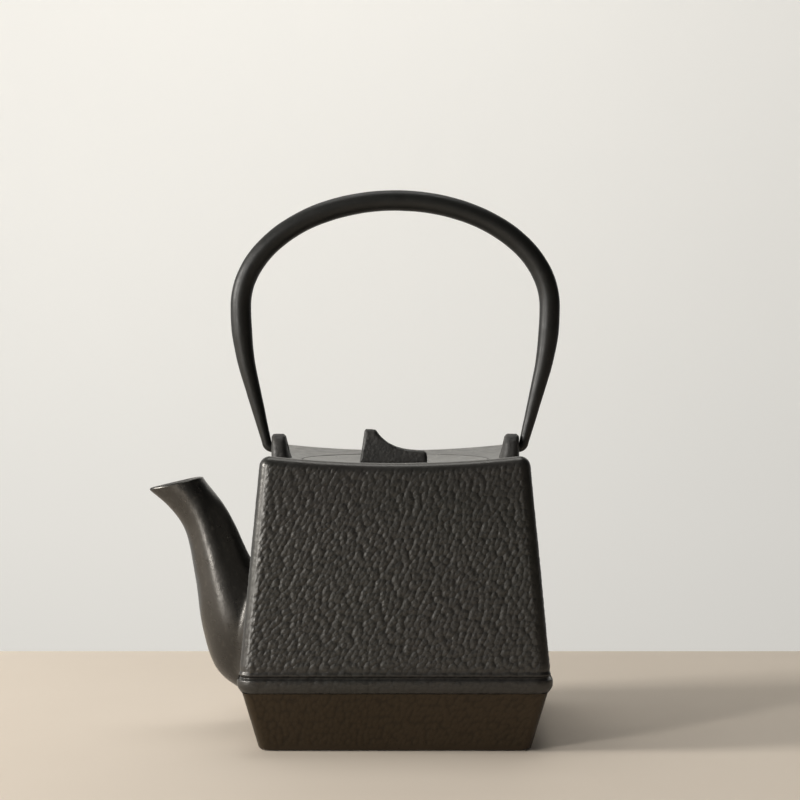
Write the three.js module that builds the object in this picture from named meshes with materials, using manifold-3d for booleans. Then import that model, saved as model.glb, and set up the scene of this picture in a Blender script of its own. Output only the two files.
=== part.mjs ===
// A square cast iron teapot with a bail handle, a flush round lid and a stainless tea strainer.
// Millimetres, +Z up. The origin is the centre of the base's underside, and the spout points to -X.
// The part is a mirror image of itself in the plane y = 0.
import * as THREE from "three";
import { mergeVertices } from "three/addons/utils/BufferGeometryUtils.js";
import Module from "manifold-3d";

const wasm = await Module();
wasm.setup();

// ---- Driving dimensions ----

const SEAT_GAP = 0.3; // between pieces that touch
const RUNNING_GAP = 0.4; // around pieces that slide or turn in each other

// Body: a square tapered box, widest at the flange, over a shallow base that narrows to the floor.
const BODY_HEIGHT = 112; // top corners
const TOP_HALF = 50.8; // half the width of the square top
const WALL_LEAN = 0.092; // how far the upper walls run out for each millimetre down
const WALL = 3.5;
const CORNER_RADIUS = 4.2; // vertical corners of the upper walls
const TOP_FILLET = 4; // between the walls and the top
const LEAST_CORNER = 0.2; // what is left of the corners inside the fillet
const DISH_DEPTH = 6; // how far the middle of the top lies below its corners

const SEAM_HEIGHT = 23; // underside of the flange, where the upper casting meets the base
const FLANGE_HEIGHT = 5; // up to the flange's upper edge
const FLANGE_PROUD = 0.9; // past the foot of the wall
const FLANGE_CORNER = 6;
const FLANGE_CHAMFER = 1.6;
const COVE_HEIGHT = 3; // from the flange's upper edge to the plain wall

const BASE_STEP = 3; // how far the base stands in from the flange
const BASE_LEAN = 0.245; // how far the base's sides run in for each millimetre down
const BASE_CORNER = 3.5;
const BASE_EDGE = 3; // rounding where the sides meet the underside
const FLOOR = 4;
const FLOOR_CHAMFER = 3; // inside, between the floor and the sides

// Lid: a round plate that lies flush in the dished top, with a locating skirt below.
const LID_TO_LUG = 4.2; // from the lid's edge to the lugs
const LID_THICKNESS = 3;
const LID_SEAT_WIDTH = 4; // of the step that carries the lid
const SKIRT_PLAY = 0.8; // between the skirt and the strainer's wall
const SKIRT_WALL = 2.2;
const SKIRT_DEPTH = 4;

// Knob: a fin that is tall at the spout side and low at the other.
const KNOB_TALL_END = -14;
const KNOB_LOW_END = 12.8;
const KNOB_TALL = 13;
const KNOB_LOW = 4.3;
const KNOB_THICK = 9.5;
const KNOB_TAPER = 0.25; // share of the thickness lost at the top
const KNOB_ROUND = 1.5;
const TENON_RADIUS = 2.5;
const WASHER_RADIUS = 6;
const WASHER_THICKNESS = 1.2;
const RIVET_HEAD_RADIUS = 3.8;
const RIVET_HEAD_HEIGHT = 1.4;

// Lugs: two ears at the top's left and right edges, bored along X for the handle.
const LUG_INSET = 1; // outer face in from the edge of the top
const LUG_THICK = 8.3;
const LUG_THICK_TOP = 5;
const LUG_TOP = 5.6; // above the bore's axis
const LUG_HALF_DEPTH = 8.5;
const LUG_ROUND = 1.6;
const PIVOT_HEIGHT = 0; // of the bore's axis, above the top corners
const PIN_RADIUS = 1.8;

// Handle: a round iron bail, thin at its hooked ends and thick over the arch.
const BAR_RADIUS = 4.13;
const BOW_OUT = 10.3; // how far the bow stands out past its feet
const BOW_HEIGHT = 57; // widest level above the pivot
const ARCH_RISE = 42.5; // from the widest level to the top of the centreline
const LEG_CURVE = 1.49; // height of the curve that the legs run out of, over BOW_HEIGHT
const TAPER_HEIGHT = 47; // above the pivot, where the bar reaches its full thickness
const HOOK_BEND = 2.3;
const HOOK_GAP = 0.25; // between the legs' feet and the lugs' outer faces

// Spout: a broad root over the flange, narrowing upwards to a slanted beak.
const SPOUT_BELOW_TOP = 11.4; // mouth's inner corner below the top corners
const SPOUT_WALL = 3;
const SPOUT_PORT_RADIUS = 8;
const SPOUT_PORT_RISE = 0.43; // share of the mouth's height
// Stations from root to mouth: lower edge (distance past the flange, share of the mouth's height),
// upper edge (the same), and half the width.
const SPOUT_STATIONS = [
  [-7.4, 0.1, -9, 0.52, 17.5],
  [4.6, 0.157, -2.4, 0.641, 17],
  [12.6, 0.229, 1.4, 0.72, 15.8],
  [18.1, 0.383, 5.6, 0.811, 13.5],
  [21.3, 0.596, 9.8, 0.885, 11],
  [25.6, 0.793, 13.6, 0.935, 9.2],
  [31.4, 0.885, 16.2, 0.966, 8.3],
  [40.1, 0.952, 17.9, 1, 7.4],
];
const SPOUT_BEAK = 0.35; // how much the mouth narrows towards its lip

// Strainer: a wire mesh basket in a collar that hangs on a ledge in the mouth.
const LEDGE_WIDTH = 2.8;
const LEDGE_THICKNESS = 2.4;
const MOUTH_PLAY = 1.2; // between the mouth and the collar
const STRAINER_DEPTH = 55; // below its ledge
const STRAINER_SHEET = 0.6;
const RIM_PLAY = 0.9; // between the collar's flange and the wall around its ledge
const COLLAR_DEPTH = 7;
const FOOT_BAND = 5;
const FOOT_LIP = 3; // how far the foot band reaches in under the base

// ---- Materials ----

const material = (color, roughness, metalness) => new THREE.MeshStandardMaterial({ color, roughness, metalness });
const pebbledIron = material(0x3a3835, 0.55, 0.6);
const smoothIron = material(0x2c2b29, 0.42, 0.65);
const sandIron = material(0x353432, 0.62, 0.55);
const handleIron = material(0x242523, 0.38, 0.5);
const stainless = material(0xb9bbbd, 0.3, 1);

// ---- Rings and lofts ----

const CORNER_STEPS = 4;
const FLAT_STEPS = 8;
const RING_POINTS = 4 * (CORNER_STEPS + FLAT_STEPS);

const heightOf = (z, x, y) => (typeof z === "function" ? z(x, y) : z);

// A rectangle with rounded corners about (cx, 0), as points that run anticlockwise seen from above.
function rectangleRing(halfX, halfY, radius, z, cx = 0) {
  const corners = [];
  for (let corner = 0; corner < 4; corner++) {
    const middle = ((corner + 0.5) * Math.PI) / 2;
    const x = Math.sign(Math.cos(middle)) * (halfX - radius);
    const y = Math.sign(Math.sin(middle)) * (halfY - radius);
    for (let i = 0; i <= CORNER_STEPS; i++) {
      const a = ((corner + i / CORNER_STEPS) * Math.PI) / 2;
      corners.push([x + radius * Math.cos(a), y + radius * Math.sin(a)]);
    }
  }
  const points = [];
  corners.forEach(([x, y], i) => {
    points.push([x, y]);
    if ((i + 1) % (CORNER_STEPS + 1)) return;
    const [nextX, nextY] = corners[(i + 1) % corners.length];
    for (let k = 1; k < FLAT_STEPS; k++) {
      const t = k / FLAT_STEPS;
      points.push([x + (nextX - x) * t, y + (nextY - y) * t]);
    }
  });
  return points.map(([x, y]) => new THREE.Vector3(cx + x, y, heightOf(z, cx + x, y)));
}

const squareRing = (half, radius, z) => rectangleRing(half, half, radius, z);

// A circle about the Z axis whose points match those of a square ring.
function circleRing(radius, z) {
  const step = (2 * Math.PI) / RING_POINTS;
  const start = Math.PI / 4 - (CORNER_STEPS / 2) * step;
  return Array.from({ length: RING_POINTS }, (_, i) => {
    const x = radius * Math.cos(start + i * step);
    const y = radius * Math.sin(start + i * step);
    return new THREE.Vector3(x, y, heightOf(z, x, y));
  });
}

// The surface through a list of rings. It closes on itself, or is capped at both ends.
function loft(rings, closesOnItself = false) {
  const n = rings[0].length;
  const points = rings.flat();
  const index = [];
  const bands = closesOnItself ? rings.length : rings.length - 1;
  for (let i = 0; i < bands; i++) {
    const low = i * n;
    const high = ((i + 1) % rings.length) * n;
    for (let k = 0; k < n; k++) {
      const next = (k + 1) % n;
      index.push(low + k, low + next, high + next, low + k, high + next, high + k);
    }
  }
  if (!closesOnItself) {
    const middles = [rings[0], rings.at(-1)].map((ring) =>
      ring.reduce((sum, p) => sum.add(p), new THREE.Vector3()).divideScalar(n),
    );
    const first = points.push(...middles) - 2;
    const top = (rings.length - 1) * n;
    for (let k = 0; k < n; k++) {
      const next = (k + 1) % n;
      index.push(first, next, k, first + 1, top + k, top + next);
    }
  }
  return new THREE.BufferGeometry().setFromPoints(points).setIndex(index);
}

const revolve = (profile, closesOnItself = true) =>
  loft(profile.map(([radius, z]) => circleRing(radius, z)), closesOnItself);

// ---- Joining and cutting ----

function solid(geometry) {
  const bare = geometry.clone();
  bare.deleteAttribute("normal");
  bare.deleteAttribute("uv");
  const merged = mergeVertices(bare);
  return new wasm.Manifold(
    new wasm.Mesh({
      numProp: 3,
      vertProperties: merged.getAttribute("position").array,
      triVerts: new Uint32Array(merged.index.array),
    }),
  );
}

function geometryOf(shape) {
  const mesh = shape.getMesh();
  return new THREE.BufferGeometry()
    .setAttribute("position", new THREE.BufferAttribute(mesh.vertProperties, 3))
    .setIndex(new THREE.BufferAttribute(mesh.triVerts, 1));
}

// A rod along X from one x to another.
function rodAlongX(radius, fromX, toX, z) {
  return new THREE.CylinderGeometry(radius, radius, toX - fromX, 24)
    .rotateZ(Math.PI / 2)
    .translate((fromX + toX) / 2, 0, z);
}

// A rod along Z from one height to another, with its own radius at each end.
function rodAlongZ(radiusLow, radiusHigh, fromZ, toZ) {
  return new THREE.CylinderGeometry(radiusHigh, radiusLow, toZ - fromZ, 24)
    .rotateX(Math.PI / 2)
    .translate(0, 0, (fromZ + toZ) / 2);
}

// ---- Body ----

const wallHalf = (z) => TOP_HALF + WALL_LEAN * (BODY_HEIGHT - z);
const flangeTop = SEAM_HEIGHT + FLANGE_HEIGHT;
const coveTop = flangeTop + COVE_HEIGHT;
const flangeHalf = wallHalf(flangeTop) + FLANGE_PROUD;
const seamHalf = flangeHalf - BASE_STEP;
const baseHalf = (z) => seamHalf - BASE_LEAN * (SEAM_HEIGHT - z);
const spoutTop = BODY_HEIGHT - SPOUT_BELOW_TOP;
const dish = (x, y) => BODY_HEIGHT - DISH_DEPTH + (DISH_DEPTH / 2 / TOP_HALF ** 2) * (x * x + y * y);

// The base's sides from the underside to the seam, as [half width, corner radius, height].
function baseProfile() {
  const lean = Math.atan(BASE_LEAN);
  const middle = baseHalf(BASE_EDGE * (1 - Math.sin(lean))) - BASE_EDGE * Math.cos(lean);
  const steps = 4;
  const edge = Array.from({ length: steps + 1 }, (_, i) => {
    const a = -Math.PI / 2 + (i / steps) * (Math.PI / 2 - lean);
    return [middle + BASE_EDGE * Math.cos(a), BASE_CORNER, BASE_EDGE * (1 + Math.sin(a))];
  });
  return [...edge, [baseHalf(SEAM_HEIGHT - SEAT_GAP), BASE_CORNER, SEAM_HEIGHT - SEAT_GAP]];
}

// The flange and the cove above it, in the same form.
const flangeProfile = () => [
  [seamHalf, FLANGE_CORNER - BASE_STEP, SEAM_HEIGHT],
  [flangeHalf - 0.3 * FLANGE_CHAMFER, FLANGE_CORNER, SEAM_HEIGHT + 0.5 * FLANGE_CHAMFER],
  [flangeHalf, FLANGE_CORNER, SEAM_HEIGHT + FLANGE_CHAMFER],
  [flangeHalf, FLANGE_CORNER, flangeTop],
  [flangeHalf - FLANGE_PROUD * 0.6, FLANGE_CORNER - FLANGE_PROUD * 0.6, flangeTop + COVE_HEIGHT * 0.3],
  [wallHalf(coveTop), CORNER_RADIUS, coveTop],
];

// A ring of the top's rounded edge: `inset` in from the edge and `drop` below the dished top.
function edgeRing(inset, drop) {
  const corner = Math.max(CORNER_RADIUS - inset, LEAST_CORNER);
  return squareRing(TOP_HALF - inset, corner, (x, y) => dish(x, y) - drop).map((p) => {
    const lean = 1 + (WALL_LEAN * (BODY_HEIGHT - p.z)) / TOP_HALF;
    return new THREE.Vector3(p.x * lean, p.y * lean, p.z);
  });
}

// The top from the foot of its rounded edge in to the lid's seat.
function topRings() {
  const steps = 3;
  const edge = Array.from({ length: steps + 1 }, (_, i) => {
    const a = (i / steps) * (Math.PI / 2);
    return edgeRing(TOP_FILLET * (1 - Math.cos(a)), TOP_FILLET * (1 - Math.sin(a)));
  });
  const seatEdge = circleRing(lidSeatRadius, dish);
  const between = edge.at(-1).map((p, i) => p.clone().lerp(seatEdge[i], 0.5));
  return [...edge, between.map((p) => p.setZ(dish(p.x, p.y))), seatEdge];
}

const lidRadius = TOP_HALF - LUG_INSET - LUG_THICK - LID_TO_LUG;
const lidSeatRadius = lidRadius + RUNNING_GAP;
const ledgeRadius = lidSeatRadius - LID_SEAT_WIDTH;
const mouthRadius = ledgeRadius - LEDGE_WIDTH;
const collarRadius = mouthRadius - MOUTH_PLAY;
const collarInside = collarRadius - STRAINER_SHEET;
const strainerRadius = collarInside - SEAT_GAP;
const skirtRadius = strainerRadius - STRAINER_SHEET - SKIRT_PLAY;
const lidUnderside = (x, y) => dish(x, y) - LID_THICKNESS;
const lidSeat = (x, y) => lidUnderside(x, y) - SEAT_GAP;
const ledgeHeight = lidSeat(ledgeRadius, 0) - STRAINER_SHEET - 2 * SEAT_GAP;

function upperBody() {
  const innerTop = BODY_HEIGHT - DISH_DEPTH - TOP_FILLET;
  const outer = flangeProfile().map(([half, radius, z]) => squareRing(half, radius, z));
  const shell = loft(
    [
      ...outer,
      ...topRings(),
      circleRing(lidSeatRadius, lidSeat),
      circleRing(ledgeRadius, lidSeat),
      circleRing(ledgeRadius, ledgeHeight),
      circleRing(mouthRadius, ledgeHeight),
      circleRing(mouthRadius, ledgeHeight - LEDGE_THICKNESS),
      circleRing(lidSeatRadius + WALL / 2, ledgeHeight - LEDGE_THICKNESS),
      squareRing(TOP_HALF - WALL - 2, CORNER_RADIUS, (x, y) => dish(x, y) - WALL),
      squareRing(wallHalf(innerTop) - WALL, CORNER_RADIUS, innerTop),
      squareRing(wallHalf(coveTop) - WALL, CORNER_RADIUS, coveTop),
      squareRing(seamHalf - WALL, BASE_CORNER, SEAM_HEIGHT),
    ],
    true,
  );
  const port = rodAlongX(SPOUT_PORT_RADIUS, -flangeHalf, -flangeHalf / 2, SPOUT_PORT_RISE * spoutTop);
  return geometryOf(solid(shell).subtract(solid(port)));
}

function basePan() {
  const outer = baseProfile();
  const rim = outer.at(-1);
  return loft(
    [
      ...outer,
      [rim[0] - WALL, BASE_CORNER, rim[2]],
      [baseHalf(FLOOR + FLOOR_CHAMFER) - WALL, BASE_CORNER, FLOOR + FLOOR_CHAMFER],
      [baseHalf(FLOOR) - WALL - FLOOR_CHAMFER, BASE_CORNER, FLOOR],
    ].map(([half, radius, z]) => squareRing(half, radius, z)),
  );
}

// The body's outer shape as one solid, grown by the seat gap: what the spout is cut to.
function bodyEnvelope() {
  const grow = ([half, radius, z], lift) => squareRing(half + SEAT_GAP, radius, z + lift);
  return loft([
    ...baseProfile().slice(0, -1).map((row) => grow(row, -SEAT_GAP)),
    ...flangeProfile().map((row) => grow(row, row[2] < flangeTop ? -SEAT_GAP : SEAT_GAP)),
    grow([TOP_HALF, CORNER_RADIUS, BODY_HEIGHT], 0),
  ]);
}

// The block below the top, raised by the seat gap: what the lugs are cut to.
function topBlock() {
  const low = BODY_HEIGHT - 2 * DISH_DEPTH - TOP_FILLET;
  const rings = [squareRing(wallHalf(low), CORNER_RADIUS, low), ...topRings(), circleRing(1, dish)];
  return loft(rings).translate(0, 0, SEAT_GAP);
}

// ---- Spout ----

// The spout's sections. `wall` draws each in from the outside, and `past` carries the ends on outwards.
function spoutRings(wall, past) {
  const edge = (column) =>
    new THREE.CatmullRomCurve3(
      SPOUT_STATIONS.map((s) => new THREE.Vector3(-(flangeHalf + s[column]), 0, s[column + 1] * spoutTop)),
    );
  const lower = edge(0);
  const upper = edge(2);
  const widths = new THREE.SplineCurve(SPOUT_STATIONS.map((s, i) => new THREE.Vector2(i, s[4])));
  const sections = 22;
  const sides = 28;
  const rings = Array.from({ length: sections + 1 }, (_, i) => {
    const t = i / sections;
    const low = lower.getPoint(t);
    const high = upper.getPoint(t);
    const middle = low.clone().add(high).multiplyScalar(0.5);
    const long = low.clone().sub(high).multiplyScalar(0.5);
    long.setLength(long.length() - wall);
    const half = widths.getPoint(t).y - wall;
    const beak = SPOUT_BEAK * t ** 3;
    return Array.from({ length: sides }, (_, k) => {
      const a = (-k / sides) * 2 * Math.PI;
      const y = half * Math.sin(a) * (1 - beak * Math.cos(a));
      return middle.clone().addScaledVector(long, Math.cos(a)).add(new THREE.Vector3(0, y, 0));
    });
  });
  if (past > 0) {
    const along = lower.getTangent(1).add(upper.getTangent(1)).setLength(past);
    rings.push(rings.at(-1).map((p) => p.clone().add(along)));
  }
  return rings;
}

function spout() {
  const outside = solid(loft(spoutRings(0, 0)));
  const channel = solid(loft(spoutRings(SPOUT_WALL, 4)));
  return geometryOf(outside.subtract(channel).subtract(solid(bodyEnvelope())));
}

// ---- Lid and knob ----

function lid() {
  const hole = TENON_RADIUS + SEAT_GAP;
  const top = (radius) => [radius, dish(radius, 0)];
  const under = (radius, extra = 0) => [radius, lidUnderside(radius, 0) - extra];
  return revolve([
    under(hole),
    under(skirtRadius - SKIRT_WALL),
    under(skirtRadius - SKIRT_WALL, SKIRT_DEPTH),
    under(skirtRadius, SKIRT_DEPTH),
    under(skirtRadius),
    under(lidRadius),
    top(lidRadius),
    top(lidRadius * 0.66),
    top(lidRadius * 0.33),
    top(hole),
  ]);
}

const knobSeat = dish(KNOB_TALL_END, KNOB_THICK / 2) + SEAT_GAP;
const washerTop = lidUnderside(0, 0) - SEAT_GAP;

// The knob's level sections as [height above its seat, spout end, other end]: upright at the tall end,
// with a low tail that sweeps up into it in a hollow curve.
function knobSections() {
  const lean = (height) => KNOB_TALL_END + (1.9 * height) / KNOB_TALL;
  const sweepStart = new THREE.Vector2(KNOB_LOW_END - 7.3, KNOB_LOW + 0.4);
  const sweepEnd = new THREE.Vector2(KNOB_TALL_END + 6.4, KNOB_TALL - 0.5);
  const pull = new THREE.Vector2(KNOB_TALL_END + 11.7, KNOB_LOW + 1.9);
  const tail = [
    [0, KNOB_LOW_END],
    [KNOB_LOW * 0.6, KNOB_LOW_END - 0.2],
    [KNOB_LOW * 0.9, KNOB_LOW_END - 0.8],
    [KNOB_LOW, KNOB_LOW_END - 2],
  ];
  const sweep = new THREE.QuadraticBezierCurve(sweepStart, pull, sweepEnd).getPoints(7);
  const rows = [...tail, ...sweep.map((p) => [p.y, p.x])].map(([height, end]) => [height, lean(height), end]);
  return [...rows, [KNOB_TALL, KNOB_TALL_END + 2.8, KNOB_TALL_END + 4.8]];
}

function knob() {
  const fin = loft(
    knobSections().map(([height, from, to]) => {
      const rise = height / KNOB_TALL;
      const rounded = rise < 1 ? 0 : KNOB_ROUND / 2;
      const halfY = (KNOB_THICK / 2) * (1 - KNOB_TAPER * rise) - rounded;
      const radius = Math.min(KNOB_ROUND, (to - from) / 2.1);
      return rectangleRing((to - from) / 2, halfY, radius, knobSeat + height, (from + to) / 2);
    }),
  );
  const headTop = washerTop - WASHER_THICKNESS - SEAT_GAP;
  const tenon = rodAlongZ(TENON_RADIUS, TENON_RADIUS, headTop - 0.5, knobSeat + 1);
  const head = rodAlongZ(RIVET_HEAD_RADIUS - 1, RIVET_HEAD_RADIUS, headTop - RIVET_HEAD_HEIGHT, headTop);
  return geometryOf(solid(fin).add(solid(tenon)).add(solid(head)));
}

function washer() {
  const hole = TENON_RADIUS + SEAT_GAP;
  const low = washerTop - WASHER_THICKNESS;
  return revolve([[hole, low], [WASHER_RADIUS, low], [WASHER_RADIUS, washerTop], [hole, washerTop]]);
}

// ---- Strainer ----

const rimLow = ledgeHeight + SEAT_GAP;
const rimTop = rimLow + STRAINER_SHEET;
const basketLow = ledgeHeight - STRAINER_DEPTH;
const rimRadius = ledgeRadius - RIM_PLAY;

const strainerCollar = () =>
  revolve([
    [collarInside, rimLow - COLLAR_DEPTH],
    [collarRadius, rimLow - COLLAR_DEPTH],
    [collarRadius, rimLow],
    [rimRadius, rimLow],
    [rimRadius, rimTop],
    [collarInside, rimTop],
  ]);

const strainerWall = () => {
  const low = basketLow + STRAINER_SHEET + SEAT_GAP;
  const inside = strainerRadius - STRAINER_SHEET;
  return revolve([[inside, low], [strainerRadius, low], [strainerRadius, rimLow], [inside, rimLow]]);
};

const strainerBase = () => {
  const low = basketLow + STRAINER_SHEET + SEAT_GAP;
  const radius = strainerRadius - STRAINER_SHEET - SEAT_GAP;
  return revolve([[radius, low], [radius, low + STRAINER_SHEET]], false);
};

// An angle ring round the basket's lower edge, which holds the wall and the base together.
const strainerFoot = () => {
  const lip = strainerRadius - FOOT_LIP;
  return revolve([
    [lip, basketLow],
    [collarRadius, basketLow],
    [collarRadius, basketLow + FOOT_BAND],
    [collarInside, basketLow + FOOT_BAND],
    [collarInside, basketLow + STRAINER_SHEET],
    [lip, basketLow + STRAINER_SHEET],
  ]);
};

// ---- Lugs and handle ----

const pivotZ = BODY_HEIGHT + PIVOT_HEIGHT;
const lugOutside = TOP_HALF - LUG_INSET;

// The lug at +X: it thins towards a rounded top, and its outer face stays upright.
function lugRight() {
  const top = pivotZ + LUG_TOP;
  const foot = dish(lugOutside, 0) - TOP_FILLET;
  const steps = 9;
  const rings = Array.from({ length: steps + 1 }, (_, i) => {
    const a = (i / steps) * (Math.PI / 2);
    const rise = Math.sin(a);
    const thick = THREE.MathUtils.lerp(LUG_THICK, LUG_THICK_TOP, rise);
    const rounded = LUG_ROUND * Math.max(0, rise - 0.85) / 0.15;
    const halfX = thick / 2 - rounded * 0.8;
    const halfY = Math.max(LUG_HALF_DEPTH * Math.cos(a) ** 0.8, LUG_ROUND);
    const radius = Math.min(LUG_ROUND, halfX, halfY);
    return rectangleRing(halfX, halfY, radius, foot + (top - foot) * rise, lugOutside - thick / 2);
  });
  const bore = rodAlongX(PIN_RADIUS + RUNNING_GAP, lugOutside - 2 * LUG_THICK, lugOutside + 1, pivotZ);
  return geometryOf(solid(loft(rings)).subtract(solid(topBlock())).subtract(solid(bore)));
}

// A copy mirrored in the plane x = 0, with its faces turned back out.
function mirrored(geometry) {
  const copy = geometry.clone().scale(-1, 1, 1);
  const index = copy.index.array;
  for (let i = 0; i < index.length; i += 3) [index[i + 1], index[i + 2]] = [index[i + 2], index[i + 1]];
  return copy;
}

// The right half of the bail's centreline in the plane y = 0, from the pin's end to the top of the arch.
function bailHalf() {
  const footX = lugOutside + PIN_RADIUS + HOOK_GAP;
  const a = footX + BOW_OUT;
  const centre = pivotZ + BOW_HEIGHT;
  const legB = LEG_CURVE * BOW_HEIGHT;
  const footZ = pivotZ + HOOK_BEND;
  const scaled = new THREE.Vector2(footX / a, (footZ - centre) / legB);
  const tangent = scaled.angle() - 2 * Math.PI + Math.acos(1 / scaled.length());
  const points = [new THREE.Vector2(lugOutside - LUG_THICK * 0.8, pivotZ)];
  const bendSteps = 6;
  for (let i = 0; i <= bendSteps; i++) {
    const turn = -Math.PI / 2 + (i / bendSteps) * (Math.PI / 2);
    points.push(
      new THREE.Vector2(footX - HOOK_BEND * (1 - Math.cos(turn)), footZ + HOOK_BEND * Math.sin(turn)),
    );
  }
  const legSteps = 6;
  const curveX = a * Math.cos(tangent);
  const curveZ = centre + legB * Math.sin(tangent);
  for (let i = 1; i < legSteps; i++) {
    const t = i / legSteps;
    points.push(new THREE.Vector2(footX + (curveX - footX) * t, footZ + (curveZ - footZ) * t));
  }
  const bowSteps = 6;
  for (let i = 0; i < bowSteps; i++) {
    const turn = tangent * (1 - i / bowSteps);
    points.push(new THREE.Vector2(a * Math.cos(turn), centre + legB * Math.sin(turn)));
  }
  const archSteps = 18;
  for (let i = 0; i <= archSteps; i++) {
    const turn = (i / archSteps) * (Math.PI / 2);
    points.push(new THREE.Vector2(a * Math.cos(turn), centre + ARCH_RISE * Math.sin(turn)));
  }
  return points;
}

function handle() {
  const right = bailHalf();
  const left = right.slice(0, -1).reverse().map((p) => new THREE.Vector2(-p.x, p.y));
  const line = [...right, ...left];
  const sides = 14;
  const rings = line.map((p, i) => {
    const before = line[Math.max(0, i - 1)];
    const after = line[Math.min(line.length - 1, i + 1)];
    const along = after.clone().sub(before).normalize();
    const rise = THREE.MathUtils.clamp((p.y - pivotZ) / TAPER_HEIGHT, 0, 1);
    const radius = THREE.MathUtils.lerp(PIN_RADIUS, BAR_RADIUS, rise);
    return Array.from({ length: sides }, (_, k) => {
      const a = (k / sides) * 2 * Math.PI;
      const out = radius * Math.cos(a);
      return new THREE.Vector3(p.x + along.y * out, radius * Math.sin(a), p.y - along.x * out);
    });
  });
  return loft(rings);
}

// ---- The teapot ----

const piece = (name, geometry, iron) => {
  const mesh = new THREE.Mesh(geometry, iron);
  mesh.name = name;
  return mesh;
};

const lug = lugRight();

const pot = new THREE.Group();
pot.add(
  piece("upper_body", upperBody(), pebbledIron),
  piece("base_pan", basePan(), pebbledIron),
  piece("spout", spout(), smoothIron),
  piece("lug_right", lug, sandIron),
  piece("lug_left", mirrored(lug), sandIron),
);

const lidGroup = new THREE.Group();
lidGroup.add(
  piece("lid", lid(), smoothIron),
  piece("lid_knob", knob(), sandIron),
  piece("knob_washer", washer(), sandIron),
);

const strainer = new THREE.Group();
strainer.add(
  piece("strainer_collar", strainerCollar(), stainless),
  piece("strainer_mesh_wall", strainerWall(), stainless),
  piece("strainer_mesh_base", strainerBase(), stainless),
  piece("strainer_foot_band", strainerFoot(), stainless),
);

const teapot = new THREE.Group();
teapot.add(pot, lidGroup, strainer, piece("handle", handle(), handleIron));

export default teapot;
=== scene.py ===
import itertools
import math

import bpy
import numpy as np
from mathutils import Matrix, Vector


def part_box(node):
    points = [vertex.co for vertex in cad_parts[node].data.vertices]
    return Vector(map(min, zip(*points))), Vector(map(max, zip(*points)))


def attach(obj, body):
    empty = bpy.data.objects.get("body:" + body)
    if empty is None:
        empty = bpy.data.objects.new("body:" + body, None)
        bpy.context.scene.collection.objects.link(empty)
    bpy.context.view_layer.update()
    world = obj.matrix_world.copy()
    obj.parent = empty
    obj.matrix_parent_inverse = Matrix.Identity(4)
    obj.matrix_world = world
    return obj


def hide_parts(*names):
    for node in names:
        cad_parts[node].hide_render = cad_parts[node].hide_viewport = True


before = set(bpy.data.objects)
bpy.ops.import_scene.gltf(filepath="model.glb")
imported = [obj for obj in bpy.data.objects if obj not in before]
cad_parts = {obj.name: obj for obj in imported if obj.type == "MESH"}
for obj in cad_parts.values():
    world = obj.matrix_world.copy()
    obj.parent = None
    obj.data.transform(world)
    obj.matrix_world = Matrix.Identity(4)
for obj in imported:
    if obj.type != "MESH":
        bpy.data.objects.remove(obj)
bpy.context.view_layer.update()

MM = 0.001


def box(node):
    """A CAD node's lowest and highest corners in millimetres."""
    low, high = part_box(node)
    return np.array(low) / MM, np.array(high) / MM


# ---- Sizes, read from the frame where a node's box gives them ----

TOP_HALF = 50.8
BODY_HEIGHT = 112.0
WALL_LEAN = 0.092
WALL = 3.5
CORNER_RADIUS = 4.2
TOP_FILLET = 4.0
LEAST_CORNER = 0.2  # the least that a corner's radius shrinks to over the top edge
DISH_DEPTH = 6.0
SEAM_HEIGHT = 23.0
FLANGE_TOP = 28.0
FLANGE_CORNER = 6.0
COVE_TOP = 31.0
FLANGE_HALF = box("upper_body")[1][0]
SEAM_HALF = FLANGE_HALF - 2.0
SEAM_CORNER = 3.0
PORT_RADIUS = 8.0
PORT_SHARE = 0.43  # the port's height over the spout's
BASE_LEAN = 0.265
BASE_CORNER = 3.5
BASE_EDGE = 2.0
FLOOR = 4.0
SEAT_GAP = 0.3

LID_RADIUS = box("lid")[1][0]
LID_THICKNESS = 3.0
SEAT_RADIUS = LID_RADIUS + 0.4
LEDGE_RADIUS = SEAT_RADIUS - 4.0
LEDGE_DROP = 1.2  # room under the lid for the strainer's rim
MOUTH_RADIUS = LEDGE_RADIUS - 2.8
SKIRT_RADIUS = 27.4
SKIRT_WALL = 2.2
SKIRT_DROP = 4.0
KNOB_HEIGHT = 13.0
KNOB_HALF = 4.75
KNOB_EDGE = 1.5
KNOB_TAPER = 0.25  # how much thinner the knob is at its top
TENON_RADIUS = 2.5
TENON_TOP = 107.2

LUG_OUTSIDE = box("lug_right")[1][0]
LUG_TOP = box("lug_right")[1][2]
LUG_HALF_WIDTH = 8.5
LUG_FOOT_THICKNESS = 8.3
LUG_TOP_THICKNESS = 5.6
LUG_FLARE = 1.6
PIVOT = BODY_HEIGHT
PIN_RADIUS = 1.8
BAR_RADIUS = 4.13
HOOK_BEND = 2.3
BAIL_REACH = 10.3  # from the bail's foot out to its widest place
BAIL_WIDEST = 57.0  # from the pivot up to it
BAIL_LEG = 1.49 * BAIL_WIDEST  # height of the ellipse that the legs follow
BAIL_ARCH = 42.5  # from the widest place up to the top
BAIL_SWELL = 47.0  # how far above the pivot the bar gets its full thickness

STRAINER_SHEET = 0.6
COLLAR_PLAY = 1.2
FOOT_LIP = 3.9
MESH_PITCH = 1.55
WIRE = 0.5


def wall_half(z):
    return TOP_HALF + WALL_LEAN * (BODY_HEIGHT - z)


def base_half(z):
    return SEAM_HALF - BASE_LEAN * (SEAM_HEIGHT - z)


def dish(x, y=0.0):
    """Height of the dished top."""
    return BODY_HEIGHT - DISH_DEPTH + DISH_DEPTH / 2 / TOP_HALF**2 * (x * x + y * y)


# ---- Noise ----


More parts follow.
